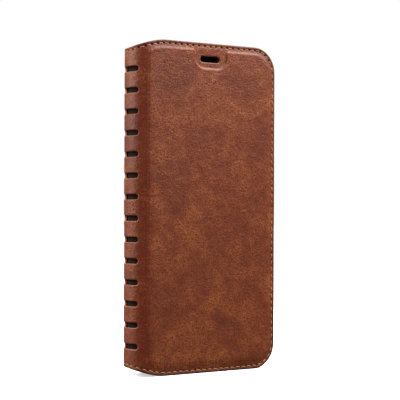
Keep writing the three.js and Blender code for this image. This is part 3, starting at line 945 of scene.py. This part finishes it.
front_holes = [*slot_loops, earpiece_loop(u_at_x(PHONE_X), 0.0, 0.4)]
front_skin, front_stitches = skin("front_and_spine_skin", -1, front_holes, 0.4)
back_skin, back_stitches = skin("back_skin", 1, [camera_loop(0.7)], 1.6)


def fold_span(side, before, after):
    low = on_wrap(np.array([side * FOLD_U - 0.05, side * FOLD_U + 0.05]), np.zeros(2), np.zeros(2))
    t = low[1] - low[0]
    t /= np.linalg.norm(t)
    middle = low.mean(0)
    return tuple(middle - t * before / 1000), tuple(middle + t * after / 1000)


COVER_BEND = fold_span(-1, 2.0, 1.8)
BACK_BEND = fold_span(1, 1.4, 2.2)
for piece in (front_skin, front_stitches):
    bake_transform(piece)
for piece in (back_skin, back_stitches):
    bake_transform(piece)
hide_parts("front_leather", "spine_leather")
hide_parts("front_seam_thread", "spine_seam_thread_top", "spine_seam_thread_bottom")
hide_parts("back_leather")
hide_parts("back_seam_thread")

# ---------------------------------------------------------------- linings


def lining(name, side, holes):
    """The cloth inside one piece of the wrap."""
    free = resample(free_edge(SPLIT_U, side, LINING_INSET), 1.0)
    rows = resample([free[-1], free[0]], 1.2)[1:-1]
    piece = Slab(name, np.vstack([free, rows]), holes)
    piece.free = free
    piece.round = 0.05
    piece.hole_round = 0.05
    piece.spacing = piece.inner_spacing = 1.6
    # Both sides are seen, the outer one through the slots, so both have the same spacing.
    piece.outer = lining_depth(0.0)
    piece.inner = lining_depth(LINING)
    made = piece.build([LINING_LOOK])
    return made


earpiece_wide = earpiece_loop(u_at_x(PHONE_X), EARPIECE["clearance"], 0.5)
front_lining = lining("front_and_spine_lining", -1, [earpiece_wide])
back_lining = lining("back_lining_cloth", 1, [camera_loop(0.8)])
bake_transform(front_lining)
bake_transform(back_lining)
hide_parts("front_lining", "spine_lining")
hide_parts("back_lining")

# ---------------------------------------------------------------- pockets and padding


def panel_loop(left, edge, top, round_top):
    """A pocket panel in (x, z): square at the spine side, round at the cover's free corners."""
    right, radius, small = RIGHT - edge, CORNER - edge, 1.2
    r = radius if round_top else 0.8
    outline = (
        arc(left + small, edge + small, small, 180, 270, 5)
        + arc(right - radius, edge + radius, radius, -90, 0, 14)
        + arc(right - r, top - r, r, 0, 90, 14)
        + arc(left + small, top - small, small, 90, 180, 5)
    )
    return resample(outline, 0.9, True)


def pocket(name, node, layer, holes=()):
    """A pocket panel, seen from inside the case, with a creased and rounded top edge."""
    full = layer is CASH
    piece = Slab(name, panel_loop(layer["left"], layer["edge"], layer["top"], full), holes, on_cover)
    near, far = layer["depth"]
    crease = layer["top"] - 1.6
    piece.facing = -1
    piece.round = 0.26
    piece.hole_round = 0.12
    piece.spacing = 1.6
    mouth = np.array([(layer["left"] + 1, crease), (RIGHT - 4, crease)])
    piece.lines = [(mouth, (-0.5, -0.25, 0, 0.25, 0.5), 0.8)]

    def face(p, edge, hole):
        groove = 0.12 * np.exp(-(((p[:, 1] - crease) / 0.3) ** 2)) * (edge > 1.2)
        swell = 0.03 * np.sin(p[:, 0] * 0.11 + 1) * np.sin(p[:, 1] * 0.07 + layer["top"])
        return far - groove - 0.03 + swell * smooth(edge / 6)

    piece.outer = face
    piece.inner = lambda p, edge, hole: np.full(len(p), near)
    piece.marks = {"dark_edge": lambda p, edge, hole: np.clip(1.3 - edge / 0.7, 0, 1)}
    made = piece.build([POCKET_LOOK])
    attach(made, "cover")
    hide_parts(node)
    return made


earpiece_inside = earpiece_loop(PHONE_X, EARPIECE["clearance"], 0.5)
pocket("cash_pocket", "cash_pocket_panel", CASH, [earpiece_inside])
for i, card in enumerate(CARDS, 1):
    pocket(f"card_pocket_panel_{i}", f"card_pocket_{i}", card)

seam_x = CARDS[0]["left"] + POCKET_SEAM["inset"]
pocket_seam = np.array([(seam_x, POCKET_SEAM["low"]), (seam_x, CARDS[0]["top"] - 0.6)])


def pocket_face(p):
    """The depth of the topmost pocket."""
    depth = np.full(len(p), CASH["depth"][1])
    for card in CARDS:
        depth = np.where(p[:, 1] < card["top"], card["depth"][1], depth)
    return depth


pocket_stitches = stitch_mesh(
    "pocket_stitches", [(pocket_seam, stitch_run(pocket_seam), on_cover, pocket_face, -1)]
)
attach(pocket_stitches, "cover")
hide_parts("pocket_seam_thread")

pad = Slab("foam_pad", pad_outline(FOAM["shrink"]))
pad.round = 0.15
pad.spacing = pad.inner_spacing = 2.5
pad.outer = lambda p, edge, hole: FOAM["outer"] + 0.02 * np.sin(p[:, 0] * 0.4) * np.sin(p[:, 1] * 0.3)
pad.inner = lambda p, edge, hole: np.full(len(p), FOAM["inner"])
pad_piece = pad.build([FOAM_LOOK])
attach(pad_piece, "cover")
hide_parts("front_foam")

# ---------------------------------------------------------------- carried-over nodes

nodes = frame["nodes"]


def wear(node, look):
    """Gives a node of the frame its material."""
    mesh = nodes[node].data
    mesh.materials.clear()
    mesh.materials.append(look)


for node in ("front_board", "back_board"):
    wear(node, BOARD_LOOK)
for node in ("magnet_front_lower", "magnet_front_upper", "magnet_back_lower", "magnet_back_upper"):
    wear(node, MAGNET_LOOK)
wear("shell_adhesive", TAPE_LOOK)
wear("phone_shell", SHELL_LOOK)
SHELL_SHARP = math.radians(32)
shell = nodes["phone_shell"]
shell.data.shade_smooth()
shell.data.set_sharp_from_angle(angle=SHELL_SHARP)
softened = shell.modifiers.new("soft edges", "BEVEL")
softened.width = 0.00018
softened.segments = 2
softened.limit_method = "ANGLE"
softened.angle_limit = SHELL_SHARP
softened.harden_normals = True

# ---------------------------------------------------------------- stage, light and camera


SKY = {"horizon": 0.15, "rise": 0.35, "zenith": 1.98, "seen": 1.0}
FLOOR_HALF = 4.0
FLOOR_GLOW = 0.45  # a light table, so that shadows on it stay faint
# Places are an angle in plan from +X, a rise and a distance from the middle of the object.
SOFTBOXES = {
    "left_rear_softbox": {"place": (156, 24, 0.7), "size": (0.58, 0.5), "power": 8.1},
    "right_front_softbox": {"place": (320, 50, 0.57), "size": (0.42, 0.36), "power": 7.9},
}
# Degrees, then metres. The camera stands to the left of the line to the phone's middle by the offset.
CAMERA = {"turn": 33.6, "pitch": 0.35, "roll": 0.2, "distance": 0.602, "offset": 0.00465}
SENSOR, LENS = 36, 114.3


def stage():
    mesh = bpy.data.meshes.new("floor")
    s = FLOOR_HALF
    mesh.from_pydata([(-s, -s, 0), (s, -s, 0), (s, s, 0), (-s, s, 0)], [], [(0, 1, 2, 3)])
    floor = bpy.data.objects.new("floor", mesh)
    bpy.context.scene.collection.objects.link(floor)
    m = Nodes("pale_floor")
    m.set(Base_Color=(0.96, 0.96, 0.96, 1))
    m.shader.inputs["Roughness"].default_value = 0.9
    m.shader.inputs["Emission Color"].default_value = (1, 1, 1, 1)
    m.shader.inputs["Emission Strength"].default_value = FLOOR_GLOW
    mesh.materials.append(m.material)
    floor.visible_diffuse = floor.visible_glossy = False  # it throws no light back up at the case


def softbox(name, place, target, size, power):
    data = bpy.data.lights.new(name, "AREA")
    data.shape = "RECTANGLE"
    data.size, data.size_y = size
    data.energy = power
    lamp = bpy.data.objects.new(name, data)
    bpy.context.scene.collection.objects.link(lamp)
    lamp.location = place
    lamp.rotation_euler = (Vector(target) - Vector(place)).to_track_quat("-Z", "Y").to_euler()


def world():
    """White behind the object, and light that falls mostly from above."""
    made = bpy.data.worlds.new("studio")
    made.use_nodes = True
    tree = made.node_tree
    sky = tree.nodes["Background"]
    place = tree.nodes.new("ShaderNodeTexCoord").outputs["Generated"]
    up = tree.nodes.new("ShaderNodeSeparateXYZ")
    tree.links.new(place, up.inputs[0])
    level = tree.nodes.new("ShaderNodeMapRange")
    level.interpolation_type = "SMOOTHSTEP"
    tree.links.new(up.outputs["Z"], level.inputs["Value"])
    level.inputs["From Min"].default_value = SKY["rise"]
    level.inputs["From Max"].default_value = 1.0
    level.inputs["To Min"].default_value = SKY["horizon"]
    level.inputs["To Max"].default_value = SKY["zenith"]
    tree.links.new(level.outputs[0], sky.inputs["Strength"])
    backdrop = tree.nodes.new("ShaderNodeBackground")
    backdrop.inputs["Strength"].default_value = SKY["seen"]
    seen = tree.nodes.new("ShaderNodeLightPath").outputs["Is Camera Ray"]
    mixed = tree.nodes.new("ShaderNodeMixShader")
    tree.links.new(seen, mixed.inputs[0])
    tree.links.new(sky.outputs[0], mixed.inputs[1])
    tree.links.new(backdrop.outputs[0], mixed.inputs[2])
    tree.links.new(mixed.outputs[0], tree.nodes["World Output"].inputs["Surface"])
    for node in (sky, backdrop):
        node.inputs["Color"].default_value = (1, 1, 1, 1)
    bpy.context.scene.world = made


def from_angle(angle, rise, distance):
    """A place seen from the middle of the object at an angle in plan from +X, and a rise."""
    a, e = math.radians(angle), math.radians(rise)
    flat = distance * math.cos(e)
    return (flat * math.cos(a), flat * math.sin(a), HEIGHT / 2000 + distance * math.sin(e))


def light():
    middle = (0, 0, HEIGHT / 2000)
    for name, box in SOFTBOXES.items():
        softbox(name, from_angle(*box["place"]), middle, box["size"], box["power"])


def camera():
    turn, pitch, roll = (math.radians(CAMERA[key]) for key in ("turn", "pitch", "roll"))
    data = bpy.data.cameras.new("camera")
    data.sensor_width = SENSOR
    data.lens = LENS
    data.clip_start = 0.01
    cam = bpy.data.objects.new("camera", data)
    bpy.context.scene.collection.objects.link(cam)
    ahead = Vector((math.sin(turn), math.cos(turn), 0))
    right = Vector((math.cos(turn), -math.sin(turn), 0))
    centre = Vector(((PHONE_X - X_MIDDLE) / 1000, -Y_MIDDLE / 1000, HEIGHT / 2000))
    cam.location = centre - ahead * CAMERA["distance"] - right * CAMERA["offset"]
    look = ahead * math.cos(pitch) + Vector((0, 0, math.sin(pitch)))
    lean = Matrix.Rotation(-roll, 3, look).to_quaternion()
    cam.rotation_mode = "QUATERNION"
    cam.rotation_quaternion = lean @ look.to_track_quat("-Z", "Y")
    bpy.context.scene.camera = cam


stage()
world()
light()
camera()
bpy.context.scene.view_settings.view_transform = "Standard"
